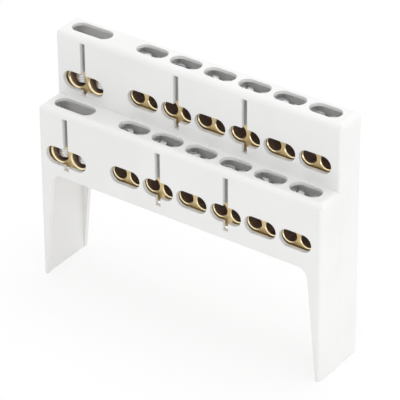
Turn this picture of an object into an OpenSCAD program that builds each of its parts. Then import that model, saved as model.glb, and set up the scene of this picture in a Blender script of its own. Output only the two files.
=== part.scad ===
// Two-tier earth terminal bar. A white moulded bridge on two channel legs carries two drilled
// brass bars, one in each tier. Every wire hole has its own clamp screw, driven from above.
// Millimetres. X runs along the bars, the wires enter from -Y, and Z is up from the feet.

/* [Housing] */
// Length over the two feet
foot_length = 118.4; // [114:0.2:140]
// Thickness of the front, rear and stepped walls
face_wall = 1.6; // [1.2:0.1:2.2]
// Thickness of the two end walls
end_wall = 1.4; // [1:0.1:2]
// Thickness of the two tops
top_wall = 1.2; // [0.9:0.1:2.2]
// Lean of each end wall in degrees, which frees the moulding from its tool
end_draft = 0.42; // [0.1:0.02:0.8]
// Rounding along the edges of the tops
top_edge_r = 2.2; // [1:0.1:2.8]
// Rounding of the upright corners
corner_r = 1.3; // [0.6:0.1:2]
// From the lower top up to the underside of the upper bar
step_land = 1.8; // [1.2:0.1:5]

/* [Legs and arch] */
// Height of the arch above the feet
arch_height = 43.6; // [20:0.2:80]
// Rounding of the arch's upper corners
arch_corner_r = 4; // [1:0.5:8]
// Lean of the legs' inner edges in degrees
leg_flare = 5.7; // [2:0.1:7]

/* [Brass bars] */
// Depth of a bar, front to back
bar_depth = 8; // [7.6:0.1:10]
// Height of a bar
bar_height = 14; // [12.5:0.1:18]
// Brass left under the main wire holes
bar_floor = 1.45; // [1:0.05:2]
// Chamfer along a bar's edges
bar_chamfer = 0.3; // [0.1:0.05:0.6]
// Clearance between a bar and each wall of its pocket
bar_play = 0.55; // [0.05:0.05:0.7]
// Clearance between the end of a bar and the end wall, at the highest point
bar_end_play = 0.6; // [0.3:0.1:0.9]
// From the arch up to the underside of the lower bar
bar_lift = 3.4; // [2.6:0.1:10]

/* [Clamp terminals, in pairs] */
// Distance between neighbouring wire holes
clamp_pitch = 7; // [6.6:0.1:7.4]
// Diameter of a wire hole
clamp_hole_d = 5.3; // [4.5:0.1:5.6]
// Thread diameter of a clamp screw
clamp_screw_d = 5; // [3:0.5:5]
// Diameter of a clamp screw's head
clamp_head_d = 5.4; // [5.2:0.1:5.8]
// Height of a clamp screw's head
clamp_head_h = 2.4; // [2:0.1:4]
// Gap under the head of a backed-out clamp screw
clamp_lift = 4.6; // [2.7:0.1:6]
// Height of a front opening
clamp_opening_h = 6.6; // [6:0.1:8]
// From the last pair to the end of the feet
last_pair_inset = 10.8; // [10:0.1:13]

/* [Main terminals, one pair] */
// Distance between the two main wire holes
main_pitch = 8.5; // [8:0.1:9.4]
// Diameter of a main wire hole
main_hole_d = 6.7; // [6.2:0.1:7.2]
// How far the main holes sit below the others
main_drop = 1.4; // [0.8:0.1:2]
// Thread diameter of a main screw
main_screw_d = 6; // [4:0.5:6]
// Diameter of a main screw's head
main_head_d = 6.5; // [6.1:0.1:7]
// Height of a main screw's head
main_head_h = 3; // [2:0.1:4]
// Gap under the head of a main screw
main_lift = 0.65; // [0.2:0.05:2]
// Height of the main opening
main_opening_h = 7; // [6.5:0.1:8]
// From the main pair to the end of the feet
main_pair_inset = 12.1; // [11.6:0.1:14]

/* [Slots and slits] */
// Width of the driver slots in the tops
driver_slot_w = 6.4; // [5:0.1:7]
// Width of the upright slits in the front walls
slit_w = 2.1; // [1:0.1:2.5]
// Wall left between a slit and the top
slit_land = 2.4; // [2:0.1:4]
// How far a slit runs on below the bar
slit_tail = 0.2; // [0:0.1:0.8]

/* [Hidden] */
SLIT_PAIRS = [2, 4];        // pairs whose opening has a slit, as the main opening has
leg_toe = 0.3;              // what is left of a leg's flange at the foot
wire_chamfer = 0.3;         // countersink of a clamp terminal's wire hole
main_chamfer = 0.45;        // countersink of a main wire hole
tap_chamfer = 0.25;         // countersink of a tapped hole
clamp_opening_margin = 0.2; // from the outer wire hole to the end of its opening
main_opening_margin = 1.1;
clamp_slot_lap = 0.2;       // how far the ends of a driver slot cover the clamp screws' heads
main_slot_margin = 0.65;    // from the outer main screw to the end of its slot
web_clear = 0.35;           // from the main slot to the web beside it
web_t = 1;                  // webs between the terminals
web_play = 0.15;            // from a web down to the bar
partition_t = 1.6;          // wall behind the lower bar
partition_setback = 0.4;    // from that wall's face back to the rear tier's face
nose_length = 8;            // snap noses that hold the bars up
nose_reach = 1.2;
nose_h = 1.8;
nose_play = 0.05;
web_step = 3;               // there is a nose under every third web
thread_play = 0.05;         // radial, between a screw and its tapped hole
tip_gap = 0.15;             // from a backed-out clamp screw to its wire hole
main_tip_gap = 1;           // from a driven main screw to the floor of its hole
tap_runout = 0.1;           // how far a main tapped hole runs on past its screw
head_cover = 0.8;           // from the clamp screws to the underside of the top
dome_rise = 0.35;           // crown of a screw's head
blade_slot_w = 0.9;         // slot across a screw's head
blade_slot_depth = 1.2;
tip_chamfer = 0.5;
turn_step = 67;             // turns each screw's slot away from its neighbour's
fuse = 0.2;                 // overlap where parts of the moulding join
over = 1;                   // how far a cut runs past the faces
housing_white = [0.93, 0.93, 0.92];
bar_brass = [0.80, 0.66, 0.38];
screw_steel = [0.78, 0.79, 0.80];
$fn = 64;

// Depths, from the front wall's face
pocket = bar_depth + 2 * bar_play;
partition_y = face_wall + pocket;
tread = partition_y + partition_setback;
depth = tread + 2 * face_wall + pocket;

// Heights, from the feet or from the centre of the wire holes
bar_drop = main_drop + main_hole_d / 2 + bar_floor;
bar_rise = bar_height - bar_drop;
top_rise = bar_rise + clamp_lift + clamp_head_h + head_cover + top_wall;
tier_rise = top_rise + step_land + bar_drop;
centre_z = arch_height + bar_lift + bar_drop;
lower_top = centre_z + top_rise;
total_h = lower_top + tier_rise;
clamp_tip = clamp_hole_d / 2 + tip_gap;
main_tip = main_tip_gap - main_hole_d / 2 - main_drop;

// Places along the bars
half = foot_length / 2;
pair_pitch = 2 * clamp_pitch;
clamp_slot_l = clamp_pitch + clamp_head_d - 2 * clamp_slot_lap;
main_slot_l = main_pitch + main_head_d + 2 * main_slot_margin;
main_x = main_pair_inset - half;
last_pair_x = half - last_pair_inset;
first_free_x = main_x + main_slot_l / 2 + 2 * web_clear + web_t + clamp_slot_l / 2;
pairs = 1 + floor((last_pair_x - first_free_x) / pair_pitch);
pair_x = [for (i = [1:pairs]) last_pair_x - (pairs - i) * pair_pitch];
clamp_x = [for (x = pair_x, side = [-1, 1]) x + side * clamp_pitch / 2];
main_screw_x = [for (side = [-1, 1]) main_x + side * main_pitch / 2];
slit_x = concat([main_x], [for (i = SLIT_PAIRS) if (i <= pairs) pair_x[i - 1]]);
clamp_opening_l = clamp_pitch + clamp_hole_d + 2 * clamp_opening_margin;
main_opening_l = main_pitch + main_hole_d + 2 * main_opening_margin;
web_x = concat([main_x + main_slot_l / 2 + web_clear + web_t / 2],
               [for (x = pair_x) x - clamp_pitch]);
bar_length = 2 * (inner_half(total_h) - bar_end_play);

// Each tier: its front face, the centre of its wire holes, its name
LOWER = [0, centre_z, "lower"];
UPPER = [tread, centre_z + tier_rise, "upper"];
TIERS = [LOWER, UPPER];

// Half the length of the hollow at a height
function inner_half(z) = half - end_wall - z * tan(end_draft);

// How far screw number i of a tier is turned
function turn(tier, i) = turn_step * (i + (tier == UPPER ? len(clamp_x) : 0));

// Puts the middle of the footprint at the origin
module placed() {
    translate([0, -depth / 2, 0]) children();
}

// Carries a front view through from one depth to another
module along_y(y0, y1) {
    translate([0, y1, 0]) rotate([90, 0, 0]) linear_extrude(y1 - y0) children();
}

// Carries an end view along, as far to the left as to the right
module along_x(reach) {
    translate([-reach, 0, 0]) rotate([90, 0, 90]) linear_extrude(2 * reach) children();
}

// Slot with round ends
module obround(l, w) {
    square([l - w, w], center = true);
    for (side = [-1, 1]) translate([side * (l - w) / 2, 0]) circle(d = w);
}

// Front view whose sides lean in from the foot line, with its upper corners rounded
module leaning_view(foot_half, bottom, top, r, lean) {
    z = top - r;
    x = foot_half - r / cos(lean) - z * tan(lean);
    low = foot_half - bottom * tan(lean);
    touch = [x + r * cos(lean), z + r * sin(lean)];
    polygon([[-low, bottom], [low, bottom], touch, [x, top], [-x, top], [-touch[0], touch[1]]]);
    for (side = [-1, 1]) translate([side * x, z]) circle(r);
}

// End view of a tier, with its top edges rounded
module end_view(y0, y1, top) {
    translate([y0, 0]) square([y1 - y0, top - top_edge_r]);
    translate([y0 + top_edge_r, 0]) square([y1 - y0 - 2 * top_edge_r, top]);
    for (y = [y0 + top_edge_r, y1 - top_edge_r]) translate([y, top - top_edge_r]) circle(top_edge_r);
}

// Leaning end of a tier with its two upright corners rounded, run on far to the left
module upright_end(y0, y1, top) {
    reach = 2 * foot_length;
    translate([half, 0, 0]) rotate([0, -end_draft, 0]) translate([0, 0, -half])
        linear_extrude(top + foot_length) {
            translate([-reach, y0]) square([reach - corner_r, y1 - y0]);
            translate([-reach, y0 + corner_r]) square([reach, y1 - y0 - 2 * corner_r]);
            for (y = [y0 + corner_r, y1 - corner_r]) translate([-corner_r, y]) circle(corner_r);
        }
}

// Solid form of a tier
module tier_form(y0, y1, top) {
    intersection() {
        along_y(y0 - over, y1 + over) leaning_view(half, -over, top, top_edge_r, end_draft);
        along_x(half + over) end_view(y0, y1, top);
        upright_end(y0, y1, top);
        mirror([1, 0, 0]) upright_end(y0, y1, top);
    }
}

// Stepped hollow of the moulding, open below
module hollow() {
    rear = depth - face_wall;
    riser = tread + face_wall;
    low = -2 * over;
    intersection() {
        along_x(half) polygon([[face_wall, -over], [rear, -over], [rear, total_h - top_wall],
                               [riser, total_h - top_wall], [riser, lower_top - top_wall],
                               [face_wall, lower_top - top_wall]]);
        along_y(0, depth) polygon([[-inner_half(low), low], [inner_half(low), low],
                                   [inner_half(total_h), total_h], [-inner_half(total_h), total_h]]);
    }
}

// Wall behind the lower bar, held in the end walls and the top
module partition() {
    reach = inner_half(lower_top) + end_wall / 2;
    translate([-reach, partition_y, arch_height])
        cube([2 * reach, partition_t, lower_top - top_wall + fuse - arch_height]);
}

// Webs between the terminals of a tier, which also keep its bar down
module webs(tier) {
    bottom = tier[1] + bar_rise + web_play;
    top = tier[1] + top_rise - top_wall + fuse;
    for (x = web_x) translate([x - web_t / 2, tier[0] + face_wall - fuse, bottom])
        cube([web_t, pocket + 2 * fuse, top - bottom]);
}

// Snap noses on both walls of a tier's pocket: the bar is pushed up past their ramps
module snap_noses(tier) {
    front = tier[0] + face_wall;
    for (i = [0:web_step:len(web_x) - 1], back = [0, 1])
        translate([web_x[i], front + back * pocket, tier[1] - bar_drop - nose_play])
            mirror([0, back, 0]) along_x(nose_length / 2)
                polygon([[-fuse, 0], [nose_reach, 0], [0, -nose_h], [-fuse, -nose_h]]);
}

// Openings and slits in a tier's front wall, and the driver slots in its top
module tier_cuts(tier) {
    slit_bottom = -bar_drop - slit_tail;
    translate([0, 0, tier[1]]) along_y(tier[0] - over, tier[0] + face_wall + over) {
        for (x = pair_x) translate([x, 0]) obround(clamp_opening_l, clamp_opening_h);
        translate([main_x, -main_drop]) obround(main_opening_l, main_opening_h);
        for (x = slit_x) translate([x - slit_w / 2, slit_bottom])
            square([slit_w, top_rise - slit_land - slit_bottom]);
    }
    translate([0, tier[0] + face_wall + pocket / 2, tier[1] + top_rise - top_wall - over])
        linear_extrude(top_wall + 2 * over) {
            for (x = pair_x) translate([x, 0]) obround(clamp_slot_l, driver_slot_w);
            translate([main_x, 0]) obround(main_slot_l, driver_slot_w);
        }
}

// Arch through the front and rear walls, which leaves the two channel legs
module arch() {
    for (y = [0, depth - face_wall])
        along_y(y - over, y + face_wall + over)
            leaning_view(half - end_wall - leg_toe, -over, arch_height, arch_corner_r, leg_flare);
}

module housing() {
    color(housing_white) placed() difference() {
        union() {
            difference() {
                union() {
                    tier_form(0, tread + face_wall, lower_top);
                    tier_form(tread, depth, total_h);
                }
                hollow();
            }
            partition();
            for (t = TIERS) {
                webs(t);
                snap_noses(t);
            }
        }
        for (t = TIERS) tier_cuts(t);
        arch();
    }
}

// End view of a bar, about the centre of its wire holes
module bar_view() {
    y0 = face_wall + bar_play;
    y1 = y0 + bar_depth;
    c = bar_chamfer;
    polygon([[y0 + c, -bar_drop], [y1 - c, -bar_drop], [y1, c - bar_drop], [y1, bar_rise - c],
             [y1 - c, bar_rise], [y0 + c, bar_rise], [y0, bar_rise - c], [y0, c - bar_drop]]);
}

// Wire hole from the front, with its countersink
module wire_hole(d, chamfer) {
    front = face_wall + bar_play;
    translate([0, front - over, 0]) rotate([-90, 0, 0]) cylinder(d = d, h = bar_depth + 2 * over);
    translate([0, front, 0]) rotate([-90, 0, 0]) cylinder(h = chamfer, d1 = d + 2 * chamfer, d2 = d);
}

// Tapped hole from the top of the bar into its wire hole
module tapped_hole(d, bottom) {
    translate([0, face_wall + bar_play + bar_depth / 2, 0]) {
        translate([0, 0, bottom]) cylinder(d = d, h = bar_rise - bottom + over);
        translate([0, 0, bar_rise - tap_chamfer])
            cylinder(h = tap_chamfer, d1 = d, d2 = d + 2 * tap_chamfer);
    }
}

// Brass bar, drilled from the front for the wires and from the top for the screws
module bar(tier) {
    color(bar_brass) placed() translate([0, tier[0], tier[1]]) difference() {
        along_x(bar_length / 2) bar_view();
        for (x = clamp_x) translate([x, 0, 0]) {
            wire_hole(clamp_hole_d, wire_chamfer);
            tapped_hole(clamp_screw_d, 0);
        }
        for (x = main_screw_x) translate([x, 0, 0]) {
            translate([0, 0, -main_drop]) wire_hole(main_hole_d, main_chamfer);
            tapped_hole(main_screw_d, main_tip - tap_runout);
        }
    }
}

module lower_bar() {
    bar(LOWER);
}

module upper_bar() {
    bar(UPPER);
}

// Screw with a slotted, slightly domed head, from its tip at z = 0
module screw(thread_d, shank_l, head_d, head_h, turn) {
    shank_r = thread_d / 2 - thread_play;
    dome_r = (pow(head_d / 2, 2) + pow(dome_rise, 2)) / (2 * dome_rise);
    head_top = shank_l + head_h;
    cylinder(h = tip_chamfer, r1 = shank_r - tip_chamfer, r2 = shank_r);
    translate([0, 0, tip_chamfer]) cylinder(h = shank_l - tip_chamfer + fuse, r = shank_r);
    difference() {
        intersection() {
            translate([0, 0, shank_l]) cylinder(h = head_h, d = head_d);
            translate([0, 0, head_top - dome_r]) sphere(dome_r);
        }
        translate([0, 0, head_top]) rotate(turn)
            cube([head_d + over, blade_slot_w, 2 * blade_slot_depth], center = true);
    }
}

// Main screw number i of a tier, driven almost to the floor of its wire hole
module main_screw(tier, i) {
    shank_l = bar_rise + main_lift - main_tip;
    color(screw_steel) placed()
        translate([main_screw_x[i - 1], tier[0] + face_wall + pocket / 2, tier[1] + main_tip])
            screw(main_screw_d, shank_l, main_head_d, main_head_h, turn(tier, i));
}

// Clamp screw number i of a tier, backed out so that its wire hole is clear
module clamp_screw(tier, i) {
    shank_l = bar_rise + clamp_lift - clamp_tip;
    color(screw_steel) placed()
        translate([clamp_x[i - 1], tier[0] + face_wall + pocket / 2, tier[1] + clamp_tip])
            screw(clamp_screw_d, shank_l, clamp_head_d, clamp_head_h, turn(tier, i));
}

housing();
lower_bar();
upper_bar();
for (t = TIERS, i = [1:len(main_screw_x)])
    main_screw(t, i);
for (t = TIERS, i = [1:len(clamp_x)])
    clamp_screw(t, i);
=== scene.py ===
from math import cos, pi, radians, sin

import bpy
import bmesh
import numpy as np
from mathutils import Matrix, Vector


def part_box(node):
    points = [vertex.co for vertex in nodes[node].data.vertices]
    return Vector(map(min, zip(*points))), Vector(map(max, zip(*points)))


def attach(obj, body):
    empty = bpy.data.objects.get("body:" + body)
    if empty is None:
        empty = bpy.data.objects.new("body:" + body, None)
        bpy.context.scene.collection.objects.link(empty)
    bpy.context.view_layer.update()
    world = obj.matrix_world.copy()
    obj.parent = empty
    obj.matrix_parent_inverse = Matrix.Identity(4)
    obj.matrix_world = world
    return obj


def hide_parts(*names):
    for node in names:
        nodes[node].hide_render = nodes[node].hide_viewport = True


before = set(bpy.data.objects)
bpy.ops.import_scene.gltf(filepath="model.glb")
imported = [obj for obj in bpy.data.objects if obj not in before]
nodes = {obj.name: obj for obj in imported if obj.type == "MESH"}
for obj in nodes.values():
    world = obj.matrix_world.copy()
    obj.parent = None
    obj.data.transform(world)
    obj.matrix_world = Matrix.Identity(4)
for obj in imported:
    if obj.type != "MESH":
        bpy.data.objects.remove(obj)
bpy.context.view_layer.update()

MM = 0.001

# ---------------------------------------------------------------- housing
# One moulding in white thermoplastic: two stepped tiers on two channel legs. It comes smooth and
# softly glossy from a polished tool, and every edge has the small rounding that a tool leaves.
HOUSING_WHITE = (0.87, 0.87, 0.862, 1.0)
HOUSING_SHADE = (0.85, 0.848, 0.838, 1.0)
HOUSING_ROUGHNESS = 0.36
HOUSING_EDGE = 0.22 * MM
ORANGE_PEEL = 0.012 * MM
DRIFT_SCALE = (45.0, 45.0, 45.0)
PEEL_SCALE = (900.0, 900.0, 900.0)


class Shade:
    """An output socket of a material's node tree. Operators on it add Math nodes."""

    def __init__(self, tree, socket=None):
        self.tree, self.socket = tree, socket

    def node(self, kind, settings=None, sockets=None, output=0):
        """Adds a node of this kind, with its settings first and then its sockets' values or links."""
        made = self.tree.nodes.new("ShaderNode" + kind)
        for name, value in (settings or {}).items():
            setattr(made, name, value)
        for name, value in (sockets or {}).items():
            if isinstance(value, Shade):
                self.tree.links.new(value.socket, made.inputs[name])
            else:
                made.inputs[name].default_value = value
        return Shade(self.tree, made.outputs[output])

    def math(self, operation, *values):
        """A Math node on these values, which are numbers or shades."""
        return self.node("Math", {"operation": operation}, dict(enumerate(values)))

    def mix(self, share, first, second):
        """Colour that goes from the first to the second as the share goes from 0 to 1."""
        return self.node("Mix", {"data_type": "RGBA"}, {0: share, 6: first, 7: second}, output=2)

    def ramp(self, low, high):
        """This value's place between low and high, held to 0 and 1."""
        sockets = {"Value": self, "From Min": low, "From Max": high}
        return self.node("MapRange", {"interpolation_type": "SMOOTHSTEP"}, sockets)

    def __add__(self, other):
        return self.math("ADD", self, other)

    def __sub__(self, other):
        return self.math("SUBTRACT", self, other)

    def __rsub__(self, other):
        return self.math("SUBTRACT", other, self)

    def __mul__(self, other):
        return self.math("MULTIPLY", self, other)

    __radd__, __rmul__ = __add__, __mul__


def new_material(name, **constants):
    """A material with a Principled shader: gives it, its shader and a Shade to start from."""
    material = bpy.data.materials.new(name)
    material.use_nodes = True
    shader = material.node_tree.nodes["Principled BSDF"]
    for socket, value in constants.items():
        shader.inputs[socket.replace("_", " ")].default_value = value
    return material, shader, Shade(material.node_tree)


def feed(shade, shader, **inputs):
    """Links shades to the shader's inputs, which are named with _ for a space."""
    for socket, value in inputs.items():
        shade.tree.links.new(value.socket, shader.inputs[socket.replace("_", " ")])


def stretched_noise(shade, scale, detail=2.0, roughness=0.5):
    """Noise on the object's own place, with a scale per metre along each axis."""
    place = shade.node("TexCoord", output=3)
    sized = shade.node("VectorMath", {"operation": "MULTIPLY"}, {0: place, 1: scale})
    sockets = {"Vector": sized, "Scale": 1.0, "Detail": detail, "Roughness": roughness}
    return shade.node("TexNoise", {"noise_dimensions": "3D"}, sockets)


def dress(obj, material):
    """Gives the object this material and no other."""
    obj.data.materials.clear()
    obj.data.materials.append(material)


plastic, shader, start = new_material("housing_plastic", Roughness=HOUSING_ROUGHNESS, IOR=1.5,
                                      Coat_Roughness=0.12)
drift = stretched_noise(start, DRIFT_SCALE, detail=3.0)
peel = stretched_noise(start, PEEL_SCALE, detail=1.0)
edge = start.node("Bevel", {"samples": 6}, {"Radius": HOUSING_EDGE})
skin = start.node("Bump", {}, {"Strength": 0.25, "Distance": ORANGE_PEEL, "Height": peel,
                               "Normal": edge})
feed(start, shader,
     Base_Color=start.mix(drift.ramp(0.35, 0.7), HOUSING_WHITE, HOUSING_SHADE),
     Roughness=drift * 0.10 + (HOUSING_ROUGHNESS - 0.05),
     Normal=skin)
dress(nodes["housing"], plastic)

# ---------------------------------------------------------------- brass bars
# Two drawn brass bars, cut to length, then drilled from the front for the wires and tapped from
# above for the screws. The drawn faces keep fine lines along the bar. The countersinks get a pale
# cream painted highlight, and the bores are painted a darker brown inside as painted shade.
BRASS = (0.58, 0.43, 0.21, 1.0)
BRASS_PALE = (0.70, 0.55, 0.31, 1.0)
# A painted highlight for the countersinks, then painted shade for the insides of the bores.
BRASS_PAINTED_HIGHLIGHT = (0.94, 0.81, 0.51, 1.0)
BORE_PAINTED_SHADE = (0.44, 0.33, 0.28, 1.0)
BRASS_ROUGHNESS, COUNTERSINK_ROUGHNESS, BORE_ROUGHNESS = 0.34, 0.22, 0.55
DRAW_LINES = (25.0, 2200.0, 2200.0)
DRAW_DEPTH = 0.006 * MM
CLOUD_SCALE = (160.0, 160.0, 160.0)
BAR_EDGE = 0.12 * MM
# How far in from the bar's front, back, underside and top the painted shade in the bores starts and
# is full.
BORE_FROM_FRONT = (0.25 * MM, 1.6 * MM)
BORE_FROM_BACK = (0.2 * MM, 0.6 * MM)
BORE_FROM_UNDER = (0.1 * MM, 0.5 * MM)
BORE_FROM_TOP = (0.1 * MM, 0.5 * MM)


def bar_brass(name, bar):
    """Brass for one bar: drawn lines outside, a painted highlight on the countersinks, and painted
    shade in the bores.

    The painted shade in a bore, a darker brown, starts a little behind the front face and ends short
    of the bar's other faces. A countersink is what looks forward at about 45 degrees, so that its
    normal's y is near -0.7, and it gets a pale cream painted highlight.
    """
    low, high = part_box(bar)
    material, shader, start = new_material(name, Metallic=1.0)
    lines = stretched_noise(start, DRAW_LINES, detail=3.0, roughness=0.6)
    cloud = stretched_noise(start, CLOUD_SCALE, detail=2.0)
    y, z = (start.node("SeparateXYZ", {}, {0: start.node("TexCoord", output=3)}, output=axis)
            for axis in (1, 2))
    # Painted shade: a mask that is full deep in the bores, where the colour turns a darker brown.
    bore_shade_mask = y.ramp(low.y + BORE_FROM_FRONT[0], low.y + BORE_FROM_FRONT[1])
    bore_shade_mask *= 1.0 - y.ramp(high.y - BORE_FROM_BACK[1], high.y - BORE_FROM_BACK[0])
    bore_shade_mask *= z.ramp(low.z + BORE_FROM_UNDER[0], low.z + BORE_FROM_UNDER[1])
    bore_shade_mask *= 1.0 - z.ramp(high.z - BORE_FROM_TOP[1], high.z - BORE_FROM_TOP[0])
    facing = start.node("SeparateXYZ", {}, {0: start.node("TexCoord", output=1)}, output=1)
    # Painted highlight: a mask on what faces forward at about 45 degrees, the countersinks, for a
    # pale cream there.
    countersink_highlight = facing.ramp(-0.95, -0.8) * (1.0 - facing.ramp(-0.6, -0.45))
    face = start.mix(cloud.ramp(0.3, 0.7), BRASS, BRASS_PALE)
    colour = start.mix(countersink_highlight, start.mix(bore_shade_mask, face, BORE_PAINTED_SHADE), BRASS_PAINTED_HIGHLIGHT)
    rounded = start.node("Bevel", {"samples": 4}, {"Radius": BAR_EDGE})
    skin = start.node("Bump", {}, {"Strength": 0.4, "Distance": DRAW_DEPTH, "Height": lines,
                                   "Normal": rounded})
    feed(start, shader, Base_Color=colour, Normal=skin,
         Roughness=(lines * 0.12 + (BRASS_ROUGHNESS - 0.06)
                    + bore_shade_mask * (BORE_ROUGHNESS - BRASS_ROUGHNESS)
                    + countersink_highlight * (COUNTERSINK_ROUGHNESS - BRASS_ROUGHNESS)))
    return material


for bar in ("lower_bar", "upper_bar"):
    dress(nodes[bar], bar_brass(bar + "_brass", bar))

# ---------------------------------------------------------------- terminal screws
# Steel screws, bright zinc plated: M5 over the small wire holes and M6 over the main ones. Each
# has a rolled thread, a blunt tip and a slotted, slightly domed head.
STEEL = (0.90, 0.90, 0.90, 1.0)
STEEL_BLUE = (0.83, 0.845, 0.86, 1.0)
STEEL_ROUGHNESS = 0.30
HEAD_HEIGHT = {"clamp": 2.4 * MM, "main": 3.0 * MM}
THREAD_PITCH = {"clamp": 0.8 * MM, "main": 1.0 * MM}
SHANK_RADIUS = {"clamp": 2.45 * MM, "main": 2.95 * MM}
SCREWS_PER_BAR = {"clamp": 12, "main": 2}
THREAD_COLUMNS = {"clamp": 28, "main": 40}
ROWS_PER_TURN = 10
THREAD_DEPTH = 0.6
CREST_SHARE = 0.15
THREAD_INTO_HEAD = 0.3 * MM
DOME_RISE = 0.35 * MM
RIM_RADIUS = 0.22 * MM
BLADE_SLOT_W = 0.9 * MM
BLADE_SLOT_DEPTH = 1.2 * MM
TIP_CHAMFER = 0.5 * MM
HEAD_COLUMNS, HEAD_ROWS = 12, 25
TURN_STEP = 67
WELD = 0.0008 * MM


def sheet(points):
    """Vertices and quads of a grid of points, an array of rows by columns by three."""
    rows, columns = points.shape[:2]
    index = np.arange(rows * columns).reshape(rows, columns)
    quads = np.stack([index[:-1, :-1], index[:-1, 1:], index[1:, 1:], index[1:, :-1]], -1)
    return points.reshape(-1, 3), quads.reshape(-1, 4)


def thread_surface(radius, length, pitch, columns):
    """A screw's threaded shank, from its tip at z = 0, closed at both ends.

    The radius at height z and angle a is the crest radius less the thread's depth where
    z / pitch - a / turn falls in a groove, and it is held under a cone at the tip.
    """
    depth = THREAD_DEPTH * pitch
    rows = int(round(length / pitch * ROWS_PER_TURN)) + 1
    z = np.linspace(0, length, rows)[:, None]
    a = np.linspace(0, 2 * pi, columns + 1)[None, :]
    phase = (z / pitch - a / (2 * pi)) % 1.0
    groove = np.clip((np.abs(2 * phase - 1) - CREST_SHARE) / (1 - 2 * CREST_SHARE), 0, 1)
    r = np.minimum(radius - depth * groove, radius - TIP_CHAMFER + z)
    wall = np.stack([r * np.cos(a), r * np.sin(a), z + 0 * a], -1)
    tip, crown = wall[:1] * (0, 0, 1), wall[-1:] * (0, 0, 1)
    return sheet(np.concatenate([tip, wall, crown]))


def head_surface(radius, height, turn):
    """A slotted domed head on z = 0, closed.

    Columns u run across the slot and rows v along it, so that x = u and
    y = v * sqrt(radius^2 - u^2). The top is a sphere's cap with a rolled rim, and both
    edges of the slot are columns that stand twice, at the top and at the slot's floor.
    """
    half = BLADE_SLOT_W / 2
    side = half + (radius - half) * np.sin(np.linspace(0, pi / 2, HEAD_COLUMNS))
    u = np.concatenate([-side[::-1], [-half, half], side])[None, :]
    sunk = np.abs(np.arange(u.size) - (u.size - 1) / 2)[None, :] < 1
    v = np.sin(np.linspace(-pi / 2, pi / 2, HEAD_ROWS))[:, None]
    x = u + 0 * v
    y = v * np.sqrt(np.maximum(radius ** 2 - u ** 2, 0))
    rho = np.hypot(x, y)
    dome = (radius ** 2 + DOME_RISE ** 2) / (2 * DOME_RISE)
    top = height - dome + np.sqrt(dome ** 2 - rho ** 2)
    over_rim = np.clip(rho - radius + RIM_RADIUS, 0, RIM_RADIUS)
    top -= RIM_RADIUS - np.sqrt(RIM_RADIUS ** 2 - over_rim ** 2)
    top = np.where(sunk, height - BLADE_SLOT_DEPTH, top)
    cap = np.stack([x, y, top], -1)
    base = np.stack([x, y, 0 * x], -1)
    skirt = []
    for edge in (np.s_[0, :], np.s_[-1, :]):
        skirt.append(sheet(np.stack([cap[edge], base[edge]])))
    parts = [sheet(cap), sheet(base)] + skirt
    spin = np.array(Matrix.Rotation(radians(turn), 3, "Z")).T
    return [(points @ spin, quads) for points, quads in parts]


def build(name, surfaces, sharp_angle=40):
    """One mesh object from several sheets, welded, with its faces turned outwards."""
    mesh = bpy.data.meshes.new(name)
    sizes = [len(points) for points, quads in surfaces]
    starts = np.cumsum([0] + sizes)
    quads = np.concatenate([quads + first for (points, quads), first in zip(surfaces, starts)])
    points = np.concatenate([points for points, quads in surfaces])
    mesh.from_pydata(points.tolist(), [], quads.tolist())
    work = bmesh.new()
    work.from_mesh(mesh)
    bmesh.ops.remove_doubles(work, verts=work.verts, dist=WELD)
    bmesh.ops.recalc_face_normals(work, faces=work.faces)
    work.to_mesh(mesh)
    work.free()
    mesh.shade_smooth()
    mesh.set_sharp_from_angle(angle=radians(sharp_angle))
    obj = bpy.data.objects.new(name, mesh)
    bpy.context.scene.collection.objects.link(obj)
    return obj


def screw_steel():
    """Bright zinc on steel: a faint blue cloud, with the cutter's lines across the heads."""
    material, shader, start = new_material("screw_steel", Metallic=1.0)
    cloud = stretched_noise(start, (500.0, 500.0, 500.0), detail=2.0)
    grain = stretched_noise(start, (3500.0, 3500.0, 3500.0), detail=2.0)
    skin = start.node("Bump", {}, {"Strength": 0.3, "Distance": 0.004 * MM, "Height": grain})
    feed(start, shader, Base_Color=start.mix(cloud.ramp(0.3, 0.7), STEEL, STEEL_BLUE),
         Roughness=grain * 0.14 + (STEEL_ROUGHNESS - 0.07), Normal=skin)
    return material


def make_screw(node, kind, turn, material):
    """The screw that stands for a CAD screw: its box gives the axis, the tip and the head."""
    low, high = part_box(node)
    centre = (low + high) / 2
    shank = high.z - low.z - HEAD_HEIGHT[kind]
    thread = thread_surface(SHANK_RADIUS[kind], shank + THREAD_INTO_HEAD, THREAD_PITCH[kind],
                            THREAD_COLUMNS[kind])
    head = head_surface((high.x - low.x) / 2, HEAD_HEIGHT[kind], turn)
    seat = np.array([centre.x, centre.y, low.z])
    surfaces = [(thread[0] + seat, thread[1])]
    surfaces += [(points + seat + (0, 0, shank), quads) for points, quads in head]
    screw = build(node + "_threaded", surfaces)
    dress(screw, material)
    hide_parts(node)
    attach(screw, "root")


steel = screw_steel()
for tier, turns_before in (("lower", 0), ("upper", 12)):
    for kind, count in SCREWS_PER_BAR.items():
        for i in range(1, count + 1):
            make_screw(f"{tier}_{kind}_screw_{i}", kind, TURN_STEP * (i + turns_before), steel)

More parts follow.
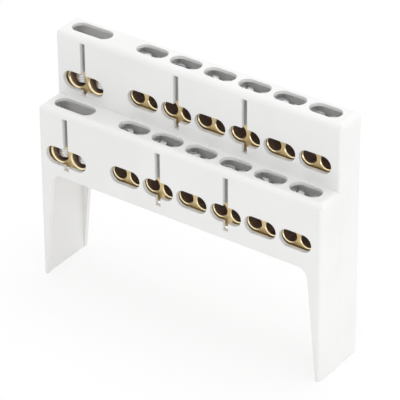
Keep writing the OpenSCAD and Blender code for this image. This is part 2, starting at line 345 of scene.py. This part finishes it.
# ---------------------------------------------------------------- slit backs of painted shade
# A thin strip stands behind each slit, in the gap between the front wall and the bar. It closes the
# slit and hides the brass, and its dark grey is painted shade, so that a slit looks like a dark
# groove.
# Painted shade: the strips are dark grey to stand for the shade inside the slits.
STRIP_PAINTED_SHADE = (0.30, 0.30, 0.305, 1.0)
STRIP_PAINTED_SHADE_PALE = (0.36, 0.36, 0.36, 1.0)
STRIP_SCALE = (300.0, 300.0, 300.0)
SLIT_W = 2.1 * MM
WALL_TO_BAR = 0.55 * MM
BACK_T = 0.35 * MM
BACK_GAP = 0.05 * MM
BACK_LAP = 0.5 * MM
BACK_CORNER = 0.1 * MM
# From the bar's top up to the slit's top, and down to the upper edge of the opening below it.
SLIT_OVER_BAR = 6.6 * MM
MAIN_OPENING_UNDER_BAR, CLAMP_OPENING_UNDER_BAR = 5.7 * MM, 4.5 * MM


def rounded_strip(low, high, radius):
    """A box with its upright edges rounded: quarter circles about the corners, joined up in z.

    Each point of a full circle is moved out to the corner in its own quarter. The quarter is
    told at a slightly larger turn, so that no point falls between two of them.
    """
    turns = np.linspace(0, 2 * pi, 24, endpoint=False)
    told_at = turns + 0.01
    side_x, side_y = np.sign(np.cos(told_at)), np.sign(np.sin(told_at))
    middle, half = (low + high) / 2, (high - low) / 2 - radius
    x = middle[0] + side_x * half[0] + radius * np.cos(turns)
    y = middle[1] + side_y * half[1] + radius * np.sin(turns)
    ring = np.stack([np.append(x, x[0]), np.append(y, y[0])], -1)
    rows = [np.column_stack([ring, np.full(len(ring), z)]) for z in (low[2], high[2])]
    ends = [row * (0, 0, 1) + (middle[0], middle[1], 0) for row in rows]
    return [sheet(np.stack([ends[0], rows[0], rows[1], ends[1]]))]


# The strips' dark grey plastic is painted shade.
painted_shade_strip_plastic, shader, start = new_material("painted_shade_strip_plastic", Roughness=0.5)
drift = stretched_noise(start, STRIP_SCALE)
feed(start, shader, Base_Color=start.mix(drift.ramp(0.35, 0.7), STRIP_PAINTED_SHADE, STRIP_PAINTED_SHADE_PALE))
for tier in ("lower", "upper"):
    bar_low, bar_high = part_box(tier + "_bar")
    back_y = bar_low.y - WALL_TO_BAR + BACK_GAP
    for kind, first, under in (("main", 1, MAIN_OPENING_UNDER_BAR),
                               ("clamp", 3, CLAMP_OPENING_UNDER_BAR),
                               ("clamp", 7, CLAMP_OPENING_UNDER_BAR)):
        boxes = [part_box(f"{tier}_{kind}_screw_{first + n}") for n in (0, 1)]
        slit_x = sum(corner.x for pair in boxes for corner in pair) / 4
        low = np.array([slit_x - SLIT_W / 2 - BACK_LAP, back_y, bar_high.z - under + BACK_LAP])
        high = np.array([slit_x + SLIT_W / 2 + BACK_LAP, back_y + BACK_T,
                         bar_high.z + SLIT_OVER_BAR + BACK_LAP])
        shade_strip = build(f"{tier}_slit_back_{kind}_{first}", rounded_strip(low, high, BACK_CORNER))
        dress(shade_strip, painted_shade_strip_plastic)
        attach(shade_strip, "root")

# ---------------------------------------------------------------- floor, light and camera
# A plain white floor under an even white studio: it shows white to the camera and in the metal,
# and it keeps a soft shadow under the part. The lamps are large and bring no colour.
FLOOR_SIZE = 4.0
FLOOR_WHITE = (0.97, 0.97, 0.97, 1.0)
FLOOR_GLOW = 0.75
WHITE = (1.0, 1.0, 1.0, 1.0)
AMBIENT = 0.79


def seen(start):
    """1 on rays from the camera and on reflected and transmitted ones, 0 on the rest."""
    camera, glossy, transmitted = (start.node("LightPath", output=i) for i in (0, 3, 6))
    return start.math("MAXIMUM", camera, start.math("MAXIMUM", glossy, transmitted))


def show_white(start, lit, share):
    """Mixes plain white into a lit shader, as the camera and the metal see it."""
    glow = start.node("Emission", {}, {"Color": WHITE, "Strength": 1.0})
    return start.node("MixShader", {}, {0: seen(start) * share, 1: lit, 2: glow})


floor_mesh = bpy.data.meshes.new("floor")
corner = FLOOR_SIZE / 2
floor_mesh.from_pydata([(-corner, -corner, 0), (corner, -corner, 0), (corner, corner, 0),
                        (-corner, corner, 0)], [], [(0, 1, 2, 3)])
floor = bpy.data.objects.new("floor", floor_mesh)
bpy.context.scene.collection.objects.link(floor)
floor_white, shader, start = new_material("floor_white", Roughness=0.9, Base_Color=FLOOR_WHITE)
output = floor_white.node_tree.nodes["Material Output"]
lit = Shade(start.tree, shader.outputs[0])
start.tree.links.new(show_white(start, lit, FLOOR_GLOW).socket, output.inputs[0])
dress(floor, floor_white)

world = bpy.data.worlds.new("studio")
world.use_nodes = True
bpy.context.scene.world = world
start = Shade(world.node_tree)
background = world.node_tree.nodes["Background"]
strength = seen(start) * (1 - AMBIENT) + AMBIENT
start.tree.links.new(strength.socket, background.inputs["Strength"])
background.inputs["Color"].default_value = WHITE


def lamp(name, place, size, watts, aim=(0, 0, 0.05)):
    """A square area lamp that looks at the middle of the part."""
    light = bpy.data.lights.new(name, "AREA")
    light.shape, light.size, light.energy = "SQUARE", size, watts
    obj = bpy.data.objects.new(name, light)
    bpy.context.scene.collection.objects.link(obj)
    obj.location = place
    obj.rotation_euler = (Vector(aim) - obj.location).to_track_quat("-Z", "Y").to_euler()


lamp("overhead", (0.1, 0.15, 1.0), 0.8, 3.1)
lamp("low_right", (0.85, -0.42, 0.16), 0.35, 1.3)

# The camera: where it stands round the part, how high, its small roll, and what it aims at.
AZIMUTH, ELEVATION, ROLL = radians(35.47), radians(32.035), radians(0.37)
CAMERA_DISTANCE = 892.4 * MM
CAMERA_LENS = 234.1
AIM = Vector((-2.63, 0.3, 50.0)) * MM
AIM_SHIFT = (3.40 * MM, -4.46 * MM)
right = Vector((cos(AZIMUTH), sin(AZIMUTH), 0))
ahead = Vector((-sin(AZIMUTH) * cos(ELEVATION), cos(AZIMUTH) * cos(ELEVATION), -sin(ELEVATION)))
up = right.cross(ahead)
right, up = right * cos(ROLL) - up * sin(ROLL), right * sin(ROLL) + up * cos(ROLL)
eye = AIM + right * AIM_SHIFT[0] + up * AIM_SHIFT[1] - ahead * CAMERA_DISTANCE
lens = bpy.data.cameras.new("camera")
lens.lens, lens.sensor_width = CAMERA_LENS, 36.0
lens.clip_start, lens.clip_end = 0.05, 20.0
camera = bpy.data.objects.new("camera", lens)
bpy.context.scene.collection.objects.link(camera)
camera.matrix_world = Matrix((right, up, -ahead)).transposed().to_4x4()
camera.location = eye
bpy.context.scene.camera = camera
bpy.context.scene.view_settings.view_transform = "Standard"
